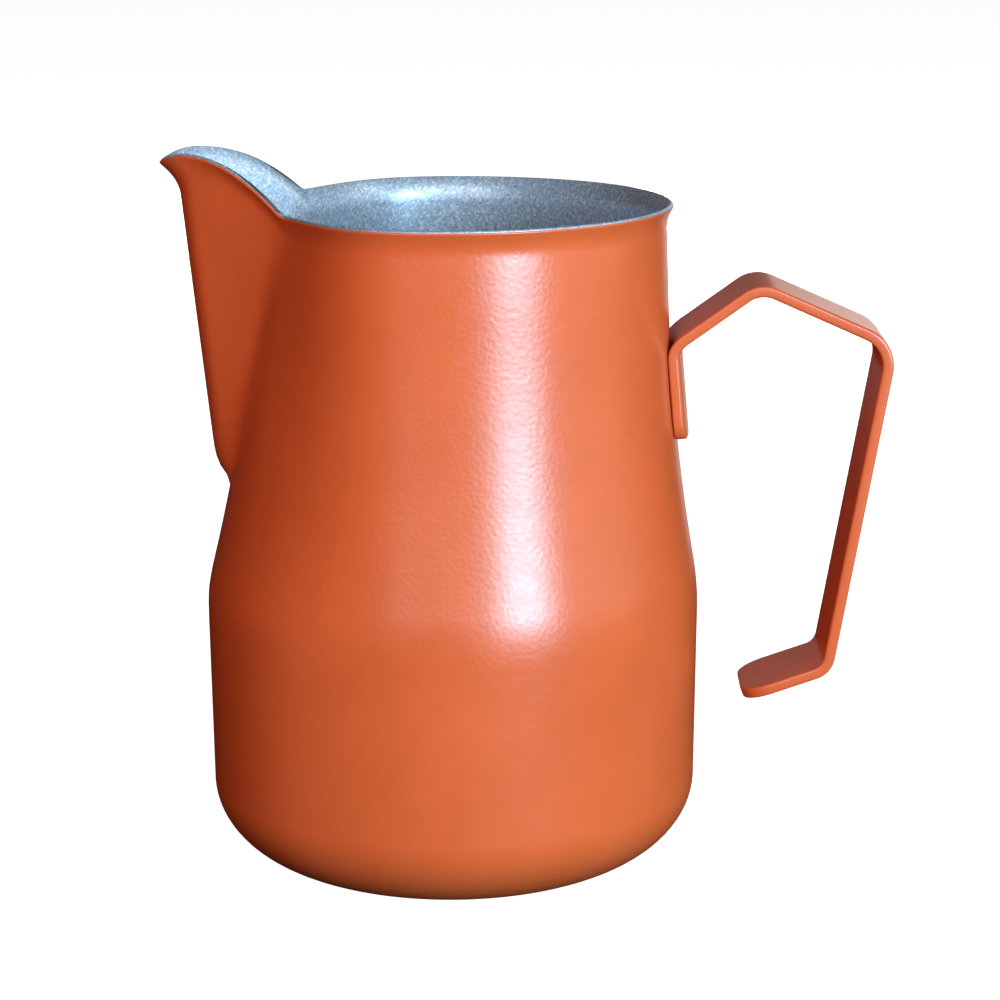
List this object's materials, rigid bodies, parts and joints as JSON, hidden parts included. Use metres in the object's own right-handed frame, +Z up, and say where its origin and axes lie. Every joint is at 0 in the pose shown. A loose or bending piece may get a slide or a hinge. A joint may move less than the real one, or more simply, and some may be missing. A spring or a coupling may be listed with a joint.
{
  "type": "milk frothing pitcher",
  "caption": "Steel milk frothing pitcher with a beaked pouring spout, a narrowed neck, an orange coated outside, a grey speckled inside and an open handle of bent flat strap",
  "frame": {"origin": "centre of the flat standing face, on the axis of the round body", "axes": "+Z is up; the spout points along -X and the handle along +X; the jug is the same on both sides of the XZ plane"},
  "size_m": [0.1288, 0.0884, 0.1284],
  "materials": {
    "orange_coat": "satin powder coat",
    "grey_coat": "speckled non-stick coating",
    "steel_sheet": "brushed",
    "weld_metal": "ground"
  },
  "bodies": {
    "root": {"body_shell": "steel_sheet", "spout_shell": "steel_sheet", "spout_weld": "weld_metal", "handle_strap": "steel_sheet", "handle_spot_welds": "weld_metal", "outer_coat": "orange_coat", "inner_coat": "grey_coat", "handle_coat": "orange_coat"}
  },
  "joints": []
}
